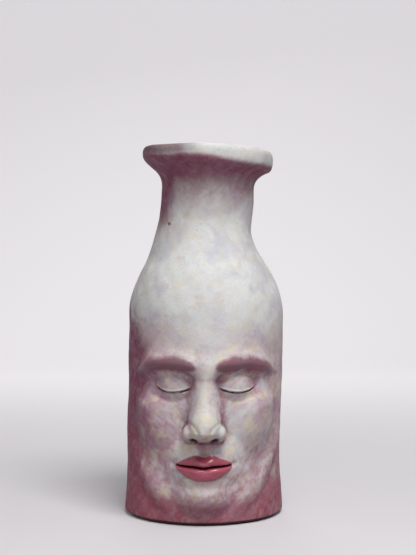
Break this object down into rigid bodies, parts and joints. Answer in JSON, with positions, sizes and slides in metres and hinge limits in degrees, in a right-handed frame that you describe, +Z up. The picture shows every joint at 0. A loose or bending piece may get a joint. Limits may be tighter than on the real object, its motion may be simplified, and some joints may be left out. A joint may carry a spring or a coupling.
{
  "type": "face vase",
  "caption": "Hand-built stoneware bottle vase with a flared rim and a calm sleeping face modelled in relief on its body, to hold cut stems.",
  "frame": {"origin": "centre of the flat foot, on the table plane", "axes": "+Z up the vessel's axis, the face looks along -Y, +X to the viewer's right when facing the vase"},
  "size_m": [0.0974, 0.1153, 0.2202],
  "materials": {
    "clay": "matte",
    "mauve_glaze": "satin",
    "lip_glaze": "gloss"
  },
  "bodies": {
    "root": {"base_slab": "clay", "body_wall": "clay", "shoulder": "clay", "neck": "clay", "rim": "clay", "brow_left": "mauve_glaze", "brow_right": "mauve_glaze", "eyeball_left": "clay", "eyeball_right": "clay", "upper_eyelid_left": "clay", "upper_eyelid_right": "clay", "lower_eyelid_left": "clay", "lower_eyelid_right": "clay", "nose": "clay", "nostril_wing_left": "clay", "nostril_wing_right": "clay", "mouth_mound": "clay", "upper_lip": "lip_glaze", "lower_lip": "lip_glaze", "cheek_left": "clay", "cheek_right": "clay", "chin": "clay"}
  },
  "joints": []
}
